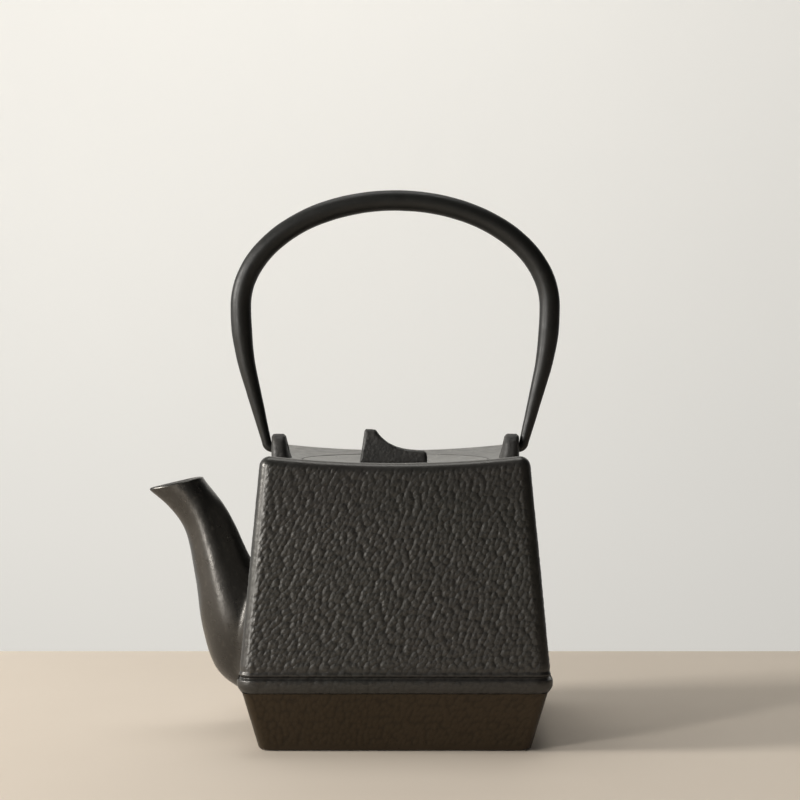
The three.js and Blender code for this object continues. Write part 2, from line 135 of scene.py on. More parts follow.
def noise(points, size, seed):
    """Smooth noise from -1 to 1 with features about `size` across."""
    table = np.random.default_rng(seed).uniform(-1, 1, 1024)
    scaled = points / size
    cell = np.floor(scaled).astype(np.int64)
    part = scaled - cell
    part = part * part * (3 - 2 * part)
    total = np.zeros(len(points))
    for corner in itertools.product((0, 1), repeat=3):
        x, y, z = (cell + corner).T
        mixed = (x * 73856093) ^ (y * 19349663) ^ (z * 83492791)
        weight = np.prod(np.where(corner, part, 1 - part), axis=1)
        total += weight * table[mixed & 1023]
    return total


def smoothstep(low, high, value):
    t = np.clip((value - low) / (high - low), 0, 1)
    return t * t * (3 - 2 * t)


# ---- Meshes ----


def soften(points, cuts, steps=4):
    """A polyline with each inner corner rounded, from `cut` before it to `cut` after it.

    A cut takes less than half of an edge, so that two of them never meet."""
    points = [np.array(p, float) for p in points]
    rounded = [points[0]]
    for before, corner, after, cut in zip(points, points[1:], points[2:], cuts):
        if cut == 0:
            rounded.append(corner)
            continue
        start = corner + (before - corner) * min(0.48, cut / np.linalg.norm(before - corner))
        end = corner + (after - corner) * min(0.48, cut / np.linalg.norm(after - corner))
        for i in range(steps + 1):
            t = i / steps
            rounded.append((1 - t) ** 2 * start + 2 * t * (1 - t) * corner + t * t * end)
    return rounded + [points[-1]]


def band(low, low_count, high, high_count):
    """Faces between two rings. One may have half the points of the other."""
    if low_count == high_count:
        k = np.arange(low_count)
        after = (k + 1) % low_count
        return np.stack([low + k, low + after, high + after, high + k], axis=1).tolist()
    k = np.arange(min(low_count, high_count))
    after = (k + 1) % len(k)
    a, b, c = 2 * k, 2 * k + 1, 2 * after
    if low_count > high_count:
        a, b, c, k, after = low + a, low + b, low + c, high + k, high + after
        triangles = [(a, b, k), (b, c, after), (b, after, k)]
    else:
        a, b, c, k, after = high + a, high + b, high + c, low + k, low + after
        triangles = [(k, b, a), (k, after, b), (after, c, b)]
    return np.concatenate([np.stack(t, axis=1) for t in triangles]).tolist()


def skin(rings, closed=False):
    """Points and faces of the surface through the rings, capped at open ends."""
    counts = [len(ring) for ring in rings]
    starts = np.cumsum([0] + counts[:-1])
    faces = []
    for i in range(len(rings) if closed else len(rings) - 1):
        j = (i + 1) % len(rings)
        faces += band(starts[i], counts[i], starts[j], counts[j])
    if not closed:
        faces.append(list(range(counts[0] - 1, -1, -1)))
        faces.append(list(range(starts[-1], starts[-1] + counts[-1])))
    return np.concatenate(rings), faces


SHARP = math.radians(38)


def new_object(name, points, faces):
    mesh = bpy.data.meshes.new(name)
    mesh.from_pydata((np.asarray(points) * MM).tolist(), [], faces)
    mesh.shade_smooth()
    mesh.set_sharp_from_angle(angle=SHARP)
    made = bpy.data.objects.new(name, mesh)
    bpy.context.scene.collection.objects.link(made)
    return made


def apply_modifiers(made):
    """Gives the object the mesh that its modifiers make."""
    graph = bpy.context.evaluated_depsgraph_get()
    mesh = bpy.data.meshes.new_from_object(made.evaluated_get(graph))
    made.modifiers.clear()
    made.data = mesh
    mesh.name = made.name


def cut_away(made, points, faces):
    """Cuts a solid from an object."""
    cutter = new_object("cutter", points, faces)
    modifier = made.modifiers.new("cut", "BOOLEAN")
    modifier.operation = "DIFFERENCE"
    modifier.solver = "MANIFOLD"
    modifier.object = cutter
    apply_modifiers(made)
    bpy.data.objects.remove(cutter)
    made.data.set_sharp_from_angle(angle=SHARP)


VOXEL = 0.33


def remesh(made):
    """Makes an even mesh, with its edges softened a little."""
    modifier = made.modifiers.new("remesh", "REMESH")
    modifier.mode = "VOXEL"
    modifier.voxel_size = VOXEL * MM
    modifier.use_smooth_shade = True
    apply_modifiers(made)


def coordinates(mesh):
    """A mesh's points in millimetres."""
    flat = np.empty(len(mesh.vertices) * 3)
    mesh.vertices.foreach_get("co", flat)
    return flat.reshape(-1, 3) / MM


def displace(made, distance):
    """Moves each point along its normal by `distance(points)`."""
    mesh = made.data
    normals = np.empty(len(mesh.vertices) * 3)
    mesh.vertex_normals.foreach_get("vector", normals)
    points = coordinates(mesh)
    moved = points + normals.reshape(-1, 3) * distance(points)[:, None]
    mesh.vertices.foreach_set("co", (moved * MM).ravel())
    mesh.update()


def dress(made, body, material, slot_name, *nodes):
    """Gives a piece its material and its body, and hides the CAD nodes that it stands for."""
    made.data.materials.clear()
    made.data.materials.append(material)
    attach(made, body)
    if nodes:
        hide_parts(*nodes)
    return made


def revolve(profile, sides):
    """Rings about the Z axis through (radius, height) points."""
    turn = np.arange(sides) / sides * 2 * math.pi
    rings = []
    for radius, z in profile:
        rings.append(np.stack([radius * np.cos(turn), radius * np.sin(turn), np.full(sides, z)], axis=1))
    return rings


def rod(start, end, radius, sides=48):
    """A plain rod between two points, for cutting."""
    start, end = np.array(start, float), np.array(end, float)
    along = (end - start) / np.linalg.norm(end - start)
    side = np.cross(along, (0, 1, 0))
    side /= np.linalg.norm(side)
    other = np.cross(along, side)
    turn = np.arange(sides)[:, None] / sides * 2 * math.pi
    circle = radius * (np.cos(turn) * side + np.sin(turn) * other)
    return skin([circle + start, circle + end])


# ---- Square rings ----


WRAP_HALF = 56.0  # the walls are unrolled along a ring of this half width
SEAM_FADE = 3  # columns from the unrolled walls' ends over which the pebbles rise from nothing
CORNER_CALM = 0.85  # how much lower the pebbles are in the middle of a rounded corner


class Columns:
    """The columns of a square ring with rounded corners, anticlockwise seen from above.

    `around` is each column's distance along the unrolled walls, and `calm` lowers the pebbles on it."""

    def __init__(self, corner_steps, flat_steps):
        centres, normals = [], []
        for quarter in range(4):
            here, there = (self.corner(quarter + k) for k in (0, 1))
            for i in range(corner_steps + 1):
                angle = (quarter + i / corner_steps) * math.pi / 2
                centres.append(here)
                normals.append((math.cos(angle), math.sin(angle)))
            for k in range(1, flat_steps):
                centres.append(here + (there - here) * k / flat_steps)
                normals.append(normals[-1])
        self.centres, self.normals = np.array(centres), np.array(normals)
        self.count = len(centres)
        step = 2 * math.pi / self.count
        self.turn = math.pi / 4 - corner_steps / 2 * step + step * np.arange(self.count)
        unrolled = self.flat(WRAP_HALF, CORNER_RADIUS)
        gaps = np.linalg.norm(np.roll(unrolled, -1, axis=0) - unrolled, axis=1)
        self.around = np.cumsum(gaps) - gaps
        column = np.arange(self.count)
        from_seam = np.minimum(column, self.count - 1 - column)
        rounded = np.sqrt(2 * np.abs(self.normals).prod(axis=1))
        self.calm = smoothstep(0, SEAM_FADE, from_seam) * (1 - CORNER_CALM * rounded)

    @staticmethod
    def corner(quarter):
        """The corner of a square of half width 1 that a quarter turn begins with."""
        middle = (quarter + 0.5) * math.pi / 2
        return np.sign([math.cos(middle), math.sin(middle)])

    def flat(self, half, radius):
        """The ring's x and y."""
        half, radius = np.reshape(half, (-1, 1)), np.reshape(radius, (-1, 1))
        return (half - radius) * self.centres + radius * self.normals

    def ring(self, half, radius, z):
        """The ring at a height, which may be a function of x and y."""
        xy = self.flat(half, radius)
        height = z(xy[:, 0], xy[:, 1]) if callable(z) else z
        return np.column_stack([xy, np.full(self.count, height)])

    def circle(self, radius, z):
        """A round ring with the same columns."""
        xy = radius * np.stack([np.cos(self.turn), np.sin(self.turn)], axis=1)
        return np.column_stack([xy, np.full(self.count, z)])


# Each has half the columns of the one before, at the same places.
FINE = Columns(8, 192)
MIDDLE = Columns(4, 96)
COARSE = Columns(2, 48)


def spaced(start, end, step):
    """Numbers from start to end, both included, about `step` apart."""
    return np.linspace(start, end, max(2, round(abs(end - start) / step) + 1))


# ---- Pebbles ----

CELL = 1.9  # from one pebble to the next
CELL_RANDOMNESS = 0.8
CELL_STRETCH = 1.15  # a pebble's length over its width
CELL_SLANT = math.tan(math.radians(24))
DOME = 0.72  # a pebble's radius, in cells
MEAN_HEIGHT = 0.45
WALL_PEBBLES = 0.21
BASE_PEBBLES = 0.26
WAVES = 0.12  # how far the walls wander over a length of WAVE_SIZE
WAVE_SIZE = 23


def wrapped(count, v):
    """Where a ring's points lie on the unrolled walls, at a height of v.

    The walls are squeezed and slanted there, so that round cells are long on them and lean to the right.
    The unrolled walls' two ends meet at the back right corner, where the pebbles fade."""
    around = FINE.around[:: FINE.count // count]
    return np.column_stack([around - v * CELL_SLANT, v / CELL_STRETCH, np.zeros(count)])


def cell_pattern(nodes):
    """The cell texture that the meshes and their material share."""
    cells = nodes.new("ShaderNodeTexVoronoi")
    cells.voronoi_dimensions = "2D"
    cells.inputs["Scale"].default_value = 1 / CELL
    cells.inputs["Randomness"].default_value = CELL_RANDOMNESS
    return cells


def cell_distances(made):
    """The cell texture's value at each of a mesh's points, from its "wrap" attribute."""
    group = bpy.data.node_groups.new("cell_distances", "GeometryNodeTree")
    for way in ("INPUT", "OUTPUT"):
        group.interface.new_socket("Geometry", in_out=way, socket_type="NodeSocketGeometry")
    nodes, links = group.nodes, group.links
    start, end = nodes.new("NodeGroupInput"), nodes.new("NodeGroupOutput")
    wrap = nodes.new("GeometryNodeInputNamedAttribute")
    wrap.data_type = "FLOAT_VECTOR"
    wrap.inputs["Name"].default_value = "wrap"
    cells = cell_pattern(nodes)
    keep = nodes.new("GeometryNodeStoreNamedAttribute")
    keep.data_type = "FLOAT"
    keep.inputs["Name"].default_value = "cells"
    links.new(wrap.outputs["Attribute"], cells.inputs["Vector"])
    links.new(start.outputs["Geometry"], keep.inputs["Geometry"])
    links.new(cells.outputs["Distance"], keep.inputs["Value"])
    links.new(keep.outputs["Geometry"], end.inputs["Geometry"])
    made.modifiers.new("cells", "NODES").node_group = group
    apply_modifiers(made)
    values = np.empty(len(made.data.vertices), dtype=np.float32)
    made.data.attributes["cells"].data.foreach_get("value", values)
    made.data.attributes.remove(made.data.attributes["cells"])
    return values


def pebble(made, wraps, amounts, strength, seed):
    """Raises pebbles on a mesh where `amounts`, one number a point, are over 0.

    The material reads the attributes "pebbled" and "wrap" that this leaves on the mesh."""
    pebbled = made.data.attributes.new("pebbled", "FLOAT", "POINT")
    pebbled.data.foreach_set("value", amounts.astype(np.float32))
    wrap = made.data.attributes.new("wrap", "FLOAT_VECTOR", "POINT")
    wrap.data.foreach_set("vector", wraps.astype(np.float32).ravel())
    height = np.clip(1 - (cell_distances(made) / DOME) ** 2, 0, 1)

    def distance(points):
        waves = WAVES * noise(points, WAVE_SIZE, seed)
        return amounts * (strength * (height - MEAN_HEIGHT) + waves)

    displace(made, distance)


# ---- Body ----


def leaning(ring):
    """Moves a ring of the dished top outwards where it is low, to stay in line with the walls."""
    ring[:, :2] *= 1 + WALL_LEAN * (BODY_HEIGHT - ring[:, 2:]) / TOP_HALF
    return ring


# The height of one row of faces.
WALL_ROW = 0.95
BASE_ROW = 0.8


def upper_outside():
    """The flange, the cove, the walls and the rounded top edge, as rings from the seam up.

    With each ring come its points' height on the unrolled walls, which go on over the top edge, and
    how pebbled it is."""
    foot = wall_half(COVE_TOP)
    profile = soften(
        [
            (SEAM_HALF, SEAM_CORNER, SEAM_HEIGHT),
            (FLANGE_HALF - 1.3, FLANGE_CORNER, SEAM_HEIGHT),
            (FLANGE_HALF, FLANGE_CORNER, SEAM_HEIGHT + 2.3),
            (FLANGE_HALF - 0.2, FLANGE_CORNER, FLANGE_TOP),
            (foot + 0.6, CORNER_RADIUS, FLANGE_TOP - 0.5),
            (foot - 0.6, CORNER_RADIUS, FLANGE_TOP + 0.6),
            (foot + 0.3, CORNER_RADIUS, FLANGE_TOP + 1.8),
            (foot - 0.2, CORNER_RADIUS, COVE_TOP - 0.1),
            (wall_half(COVE_TOP + 1.4), CORNER_RADIUS, COVE_TOP + 1.4),
        ],
        [1.2, 1.3, 0.6, 0.4, 0.5, 0.5, 0.5],
        steps=3,
    )
    rows = []
    for half, corner, z in profile[:-1]:
        amount = 0.45 + 0.15 * smoothstep(FLANGE_TOP + 0.8, COVE_TOP, z)
        rows.append((MIDDLE.ring(half, corner, z), z, amount * MIDDLE.calm))
    low = profile[-1][2]
    top = FINE.ring(TOP_HALF, CORNER_RADIUS, lambda x, y: dish(x, y) - TOP_FILLET)[:, 2]
    for share in spaced(0, 1, WALL_ROW / (BODY_HEIGHT - TOP_FILLET - low)):
        z = low + share * (top - low)
        row = np.column_stack([FINE.flat(wall_half(z)[:, None], CORNER_RADIUS), z])
        amount = smoothstep(low - 1.8, low + 0.6, z) * (1 - 0.3 * smoothstep(75, 104, z))
        rows.append((row, z, amount * FINE.calm))
    for angle in spaced(0, math.pi / 2, math.pi / 16)[1:]:
        inset = TOP_FILLET * (1 - math.cos(angle))
        drop = TOP_FILLET * (1 - math.sin(angle))
        corner = max(CORNER_RADIUS - inset, LEAST_CORNER)
        columns = FINE if angle < 1.1 else MIDDLE
        row = leaning(columns.ring(TOP_HALF - inset, corner, lambda x, y: dish(x, y) - drop))
        height = top[:: FINE.count // columns.count] + TOP_FILLET * angle
        amount = 0.7 * (1 - smoothstep(0.0, 0.6, angle)) * columns.calm
        rows.append((row, height, amount))
    return rows


def upper_body():
    outside = upper_outside()
    edge = leaning(MIDDLE.ring(TOP_HALF - TOP_FILLET, LEAST_CORNER, dish))
    seat_edge = MIDDLE.circle(SEAT_RADIUS + 1, 0)
    deck = []
    for share in spaced(0, 1, 1 / 8)[1:]:
        row = edge + (seat_edge - edge) * share
        row[:, 2] = dish(row[:, 0], row[:, 1])
        deck.append(row)
    seat = dish(LEDGE_RADIUS) - LID_THICKNESS - SEAT_GAP
    ledge = seat - LEDGE_DROP
    mouth = soften(
        [
            (SEAT_RADIUS + 0.9, dish(SEAT_RADIUS + 0.9)),
            (SEAT_RADIUS, dish(SEAT_RADIUS)),
            (SEAT_RADIUS, dish(SEAT_RADIUS) - LID_THICKNESS - SEAT_GAP),
            (LEDGE_RADIUS, seat),
            (LEDGE_RADIUS, ledge),
            (MOUTH_RADIUS, ledge),
            (MOUTH_RADIUS, ledge - 2.4),
            (SEAT_RADIUS + WALL / 2, ledge - 2.4),
        ],
        [0.55, 0.4, 0.35, 0.3, 0.5, 0.4],
        steps=3,
    )
    inside = [
        (TOP_HALF - WALL - 2, CORNER_RADIUS, lambda x, y: dish(x, y) - WALL),
        (wall_half(102) - WALL, CORNER_RADIUS, 102),
        (wall_half(80) - WALL, CORNER_RADIUS, 80),
        (wall_half(COVE_TOP) - WALL, CORNER_RADIUS, COVE_TOP),
        (SEAM_HALF - WALL, BASE_CORNER, SEAM_HEIGHT),
    ]
    rest = [
        *deck,
        *[COARSE.circle(*row) for row in mouth],
        *[COARSE.ring(*row) for row in inside],
        COARSE.ring(SEAM_HALF - 1, BASE_CORNER, SEAM_HEIGHT),
    ]
    rows = [*outside, *[(ring, ring[:, 2], 0.0) for ring in rest]]
    made = new_object("pot_upper", *skin([row[0] for row in rows], closed=True))
    wraps = np.concatenate([wrapped(len(ring), np.broadcast_to(v, len(ring))) for ring, v, _ in rows])
    amounts = np.concatenate([np.broadcast_to(amount, len(ring)) for ring, _, amount in rows])
    pebble(made, wraps, amounts, WALL_PEBBLES, 12)
    port = PORT_SHARE * SPOUT_TOP
    cut_away(made, *rod((-FLANGE_HALF - 2, 0, port), (-FLANGE_HALF / 2, 0, port), PORT_RADIUS, 64))
    return dress(made, "pot", pebbled_iron(), "pebbled_iron", "upper_body")


def base_profile():
    """The base's rounded bottom edge from the underside up, as (half width, corner radius, height)."""
    lean = math.atan(BASE_LEAN)
    middle = base_half(BASE_EDGE * (1 - math.sin(lean))) - BASE_EDGE * math.cos(lean)
    rows = []
    for angle in np.linspace(-math.pi / 2, -lean, 9):
        half, z = middle + BASE_EDGE * math.cos(angle), BASE_EDGE * (1 + math.sin(angle))
        rows.append((half, BASE_CORNER, z))
    return rows


def base_pan():
    edge = base_profile()
    top = SEAM_HEIGHT - SEAT_GAP
    side = [FINE.ring(*row) for row in edge]
    side += [FINE.ring(base_half(z), BASE_CORNER, z) for z in spaced(edge[-1][2], top, BASE_ROW)[1:]]
    under = [COARSE.circle(9, 0), COARSE.circle(30, 0), MIDDLE.ring(46, BASE_CORNER, 0)]
    inside = [
        (base_half(top) - WALL, BASE_CORNER, top),
        (base_half(12) - WALL, BASE_CORNER, 12),
        (base_half(FLOOR + 3) - WALL, BASE_CORNER, FLOOR + 3),
        (base_half(FLOOR + 0.8) - WALL - 1.0, BASE_CORNER, FLOOR + 0.8),
        (base_half(FLOOR) - WALL - 3, BASE_CORNER, FLOOR),
    ]
    rim = MIDDLE.ring(base_half(top) - 1, BASE_CORNER, top)
    rings = [*under, *side, rim, *[COARSE.ring(*row) for row in inside], COARSE.circle(12, FLOOR)]
    made = new_object("pot_base", *skin(rings))
    wraps = np.concatenate([wrapped(len(ring), ring[:, 2] - 40) for ring in rings])
    amounts = [np.zeros(len(ring)) for ring in rings]
    for i in range(len(under), len(under) + len(side)):
        amounts[i] = 0.42 * smoothstep(0.5, 3.5, rings[i][:, 2]) * FINE.calm
    pebble(made, wraps, np.concatenate(amounts), BASE_PEBBLES, 24)
    # The base gets pebbled iron with a painted reflection of the warm table.
    return dress(made, "pot", base_iron_painted_reflection(), "pebbled_iron", "base_pan")


# ---- Spout ----

# Stations from root to mouth: the lower edge's distance past the flange and its share of the mouth's
# height, the same for the upper edge, and half the width.
SPOUT_STATIONS = np.array(
    [
        (-7.4, 0.1, -9, 0.52, 17.5),
        (4.6, 0.157, -2.4, 0.641, 17),
        (12.6, 0.229, 1.4, 0.72, 15.8),
        (18.1, 0.383, 5.6, 0.811, 13.5),
        (21.3, 0.596, 9.8, 0.885, 11),
        (25.6, 0.791, 13.6, 0.935, 9.2),
        (31.8, 0.876, 16.3, 0.968, 8.3),
        (40.3, 0.950, 18.7, 1, 7.4),
    ]
)
SPOUT_TOP = box("spout")[1][2]
SPOUT_WALL = 3.0
SPOUT_BEAK = 0.35  # how much narrower the mouth is at its lower edge, and wider at its upper
SPOUT_SIDES = 96
SPOUT_START, SPOUT_END = 0.02, 0.985  # the first outside ring and the last before the lip
BODY_OVERLAP = 1.2  # how far the spout goes into the body's walls
FLARE = 5.5


def through(stations, t, power):
    """A point at t, from 0 to 1, of the Catmull-Rom curve through the rows.

    `power` is 0 for the uniform curve and 0.5 for the centripetal one."""
    place = t * (len(stations) - 1)
    i = min(int(place), len(stations) - 2)
    part = place - i
    padded = [2 * stations[0] - stations[1], *stations, 2 * stations[-1] - stations[-2]]
    p0, p1, p2, p3 = padded[i : i + 4]
    t0 = max(np.linalg.norm(p1 - p0) ** power, 1e-6)
    t1 = max(np.linalg.norm(p2 - p1) ** power, 1e-6)
    t2 = max(np.linalg.norm(p3 - p2) ** power, 1e-6)
    m1 = (p1 - p0) / t0 - (p2 - p0) / (t0 + t1) + (p2 - p1) / t1
    m2 = (p2 - p1) / t1 - (p3 - p1) / (t1 + t2) + (p3 - p2) / t2
    m1, m2 = m1 * t1, m2 * t1
    square, cube = part * part, part**3
    here, there = 2 * cube - 3 * square + 1, 3 * square - 2 * cube
    return here * p1 + (cube - 2 * square + part) * m1 + there * p2 + (cube - square) * m2


def spout_section(t, wall):
    """One ring of the spout, drawn in by `wall`, and the spout's direction there."""
    edges = []
    for column in (0, 2):
        rows = SPOUT_STATIONS[:, [column, column + 1]] * (-1, SPOUT_TOP) - (FLANGE_HALF, 0)
        before, after = through(rows, t - 0.01, 0.5), through(rows, min(t + 0.01, 1), 0.5)
        edges.append((through(rows, t, 0.5), after - before))
    (low, low_way), (high, high_way) = edges
    middle, long = (low + high) / 2, (low - high) / 2
    long = long * (1 - wall / np.linalg.norm(long))
    half = through(SPOUT_STATIONS[:, 4:], t, 0)[0] - wall
    angle = -np.arange(SPOUT_SIDES) / SPOUT_SIDES * 2 * math.pi
    beak = SPOUT_BEAK * t**3
    xz = middle + np.cos(angle)[:, None] * long
    y = half * np.sin(angle) * (1 - beak * np.cos(angle))
    way = low_way + high_way
    direction = np.array([way[0], 0, way[1]]) / np.linalg.norm(way)
    return np.column_stack([xz[:, 0], y, xz[:, 1]]), direction


def body_side(z):
    """Half the body's width at a height, flange included."""
    return np.where(z < SEAM_HEIGHT, base_half(z), np.where(z < FLANGE_TOP, FLANGE_HALF, wall_half(z)))


def flared(ring):
    """Spreads a ring near the body into a casting fillet."""
    away = np.clip((-ring[:, 0] - body_side(ring[:, 2])) / FLARE, 0, 1)
    spread = FLARE * (1 - np.sqrt(1 - (1 - away) ** 2))
    middle = ring.mean(axis=0)
    out = ring - middle
    out[:, 0] *= 0.2
    out /= np.linalg.norm(out, axis=1)[:, None]
    return ring + out * spread[:, None]


def spout():
    outside = [flared(spout_section(t, 0)[0]) for t in np.linspace(SPOUT_START, SPOUT_END, 76)]
    lip = []
    for angle in np.linspace(0.25, math.pi - 0.25, 7):
        ring, way = spout_section(1, SPOUT_WALL / 2 * (1 - math.cos(angle)))
        lip.append(ring + way * (SPOUT_WALL / 2 * (math.sin(angle) - 1)))
    channel = [spout_section(t, SPOUT_WALL)[0] for t in np.linspace(SPOUT_END, SPOUT_START, 40)]
    made = new_object("pot_spout", *skin([*outside, *lip, *channel], closed=True))
    body = [*base_profile(), (base_half(SEAM_HEIGHT), BASE_CORNER, SEAM_HEIGHT + 1)]
    body += [(wall_half(z), CORNER_RADIUS, z) for z in (SEAM_HEIGHT + 1.5, 110)]
    cut_away(made, *skin([COARSE.ring(half - BODY_OVERLAP, corner, z) for half, corner, z in body]))
    displace(made, lambda p: 0.1 * noise(p, 14, 5) + 0.035 * noise(p, 4.5, 6))
    return dress(made, "pot", smooth_iron(), "smooth_iron", "spout")


# ---- Lid, knob and washer ----


def lid():
    def underside(radius):
        return dish(radius) - LID_THICKNESS

    hole = TENON_RADIUS + SEAT_GAP
    skirt_inside, skirt_end = SKIRT_RADIUS - SKIRT_WALL, underside(SKIRT_RADIUS) - SKIRT_DROP
    profile = [
        (hole, underside(0)),
        (skirt_inside, underside(skirt_inside)),
        (skirt_inside, skirt_end),
        (SKIRT_RADIUS, skirt_end),
        (SKIRT_RADIUS, underside(SKIRT_RADIUS)),
        (LID_RADIUS, underside(LID_RADIUS)),
        (LID_RADIUS, dish(LID_RADIUS)),
        *[(r, dish(r)) for r in np.linspace(LID_RADIUS - 1.2, 5, 26)],
        (hole, dish(hole)),
    ]
    cuts = [1.2, 0.6, 0.6, 0.8, 0.5, 0.65] + [0] * 26
    made = new_object("lid_plate", *skin(revolve(soften(profile, cuts), 256), closed=True))
    displace(made, lambda p: 0.05 * noise(p, 9, 31) + 0.03 * noise(p, 3, 32))
    return dress(made, "lid", smooth_iron(), "smooth_iron", "lid")


def knob_outline():
    """The knob's side view as (x, height above its seat), clockwise from the foot of its high end."""
    high_end = [(-14.2, 0), (-13.8, 2.6), (-13.1, 7.0), (-12.4, 12.3)]
    crest = [(-11.9, 12.95), (-10.4, 12.95), (-8.3, 12.75)]
    start, pull, end = np.array((-7.6, 12.3)), np.array((-3.6, 5.9)), np.array((5.5, 4.7))
    sweep = [(1 - t) ** 2 * start + 2 * t * (1 - t) * pull + t * t * end for t in np.linspace(0, 1, 22)]
    low_end = [(10.4, 4.35), (11.7, 4.1), (12.55, 3.4), (12.8, 2.0), (12.8, 0)]
    foot = [(12.8, -1.4), (-14.2, -1.4)]
    return np.array([*high_end, *crest, *sweep, *low_end, *foot])


def knob():
    seat = box("lid_knob")[1][2] - KNOB_HEIGHT
    outline = knob_outline()[::-1]
    along = np.roll(outline, -1, axis=0) - np.roll(outline, 1, axis=0)
    inwards = np.stack([-along[:, 1], along[:, 0]], axis=1)
    inwards /= np.linalg.norm(inwards, axis=1)[:, None]
    near = []
    for angle in np.linspace(0.0, math.pi / 2, 6):
        y = KNOB_HALF - KNOB_EDGE * (1 - math.cos(angle))
        near.append((y, outline + inwards * (KNOB_EDGE * (1 - math.sin(angle)))))
    rings = []
    for y, side in [*((-y, side) for y, side in near), *near[::-1]]:
        taper = 1 - KNOB_TAPER * np.clip(side[:, 1], 0, KNOB_HEIGHT) / KNOB_HEIGHT
        rings.append(np.column_stack([side[:, 0], y * taper, side[:, 1] + seat]))
    made = new_object("knob_fin", *skin(rings))
    remesh(made)
    displace(made, lambda p: 0.05 * noise(p, 0.8, 41) + 0.05 * noise(p, 2.3, 42))
    return dress(made, "lid", sand_iron(), "sand_iron", "lid_knob")


def rivet():
    """The knob's tenon with its riveted head under the washer."""
    top = box("knob_washer")[0][2] - SEAT_GAP
    profile = [
        (0.4, top - 1.7),
        (2.6, top - 1.55),
        (3.8, top - 0.7),
        (3.8, top),
        (TENON_RADIUS, top),
        (TENON_RADIUS, TENON_TOP),
    ]
    made = new_object("knob_rivet", *skin(revolve(soften(profile, [0.6, 0.7, 0.25, 0.2]), 64)))
    displace(made, lambda p: 0.05 * noise(p, 1.1, 51))
    return dress(made, "lid", sand_iron(), "sand_iron")


def washer():
    low, high = box("knob_washer")
    inner, outer = TENON_RADIUS + SEAT_GAP, high[0]
    profile = [
        (inner, low[2]),
        (outer, low[2]),
        (outer, high[2]),
        (inner, high[2]),
        (inner, low[2] + 0.3),
    ]
    rings = revolve(soften(profile, [0.35, 0.35, 0.2]), 96)
    made = new_object("rivet_washer", *skin(rings, closed=True))
    return dress(made, "lid", sand_iron(), "sand_iron", "knob_washer")


# ---- Lugs and handle ----


def lug(side, node):
    """A lug on the right (side 1) or the left (-1), as a stack of rings that are nearly rectangles.

    Its top edge is taken in a little, and its foot flares."""
    foot = dish(LUG_OUTSIDE) - TOP_FILLET
    turn = np.arange(96) / 96 * 2 * math.pi
    squared_x, squared_y = (np.sign(wave) * np.abs(wave) ** 0.62 for wave in (np.cos(turn), np.sin(turn)))
    rings = []
    for angle in np.linspace(0, math.pi / 2, 40):
        rise = math.sin(angle)
        z = foot + (LUG_TOP - foot) * rise
        thick = LUG_FOOT_THICKNESS + (LUG_TOP_THICKNESS - LUG_FOOT_THICKNESS) * rise
        rounded = 1.3 * max(0, rise - 0.92) / 0.08
        flare = LUG_FLARE * max(0.0, 1 - (z - foot) / 6.5) ** 2.2
        x = squared_x * (thick / 2 - rounded * 0.6)
        y = squared_y * (max(LUG_HALF_WIDTH * math.cos(angle) ** 0.8, 1.6) + flare * 0.6)
        x = np.where(x < 0, x - flare, x)
        x = side * (LUG_OUTSIDE - thick / 2 + x)
        rings.append(np.column_stack([x, y * side, np.full(len(turn), z)]))
    made = new_object("lug_" + node, *skin(rings))
    start, end = side * (LUG_OUTSIDE + 4), side * (LUG_OUTSIDE - 20)
    cut_away(made, *rod((start, 0, PIVOT), (end, 0, PIVOT), PIN_RADIUS + 0.4))
    remesh(made)
    displace(made, lambda p: 0.05 * noise(p, 0.8, 61) + 0.05 * noise(p, 2.3, 62))
    return dress(made, "pot", sand_iron(), "sand_iron", "lug_" + node)


def bail_half():
    """The right half of the bail's centreline as (x, z), from the pin's end to the top of the arch."""
    foot = np.array([LUG_OUTSIDE + PIN_RADIUS + 0.25, PIVOT + HOOK_BEND])
    widest, centre = foot[0] + BAIL_REACH, PIVOT + BAIL_WIDEST

    def ellipse(turn, height):
        return np.array([widest * math.cos(turn), centre + height * math.sin(turn)])

    # Where a straight line from the foot touches the ellipse that the leg follows.
    scaled = np.array([foot[0] / widest, (foot[1] - centre) / BAIL_LEG])
    tangent = math.atan2(scaled[1], scaled[0]) + math.acos(1 / np.linalg.norm(scaled))
    touch = ellipse(tangent, BAIL_LEG)

    pin = [(LUG_OUTSIDE + d, PIVOT) for d in np.linspace(-4.0, -0.5, 5)]
    hook = []
    for turn in np.linspace(-math.pi / 2, 0, 9):
        hook.append(foot + HOOK_BEND * np.array([math.cos(turn) - 1, math.sin(turn)]))
    straight = [foot + (touch - foot) * t for t in np.linspace(0, 1, 25)[1:-1]]
    leg = [ellipse(turn, BAIL_LEG) for turn in np.linspace(tangent, 0, 33)[:-1]]
    arch = [ellipse(turn, BAIL_ARCH) for turn in np.linspace(0, math.pi / 2, 73)]
    return np.array([*pin, *hook, *straight, *leg, *arch])


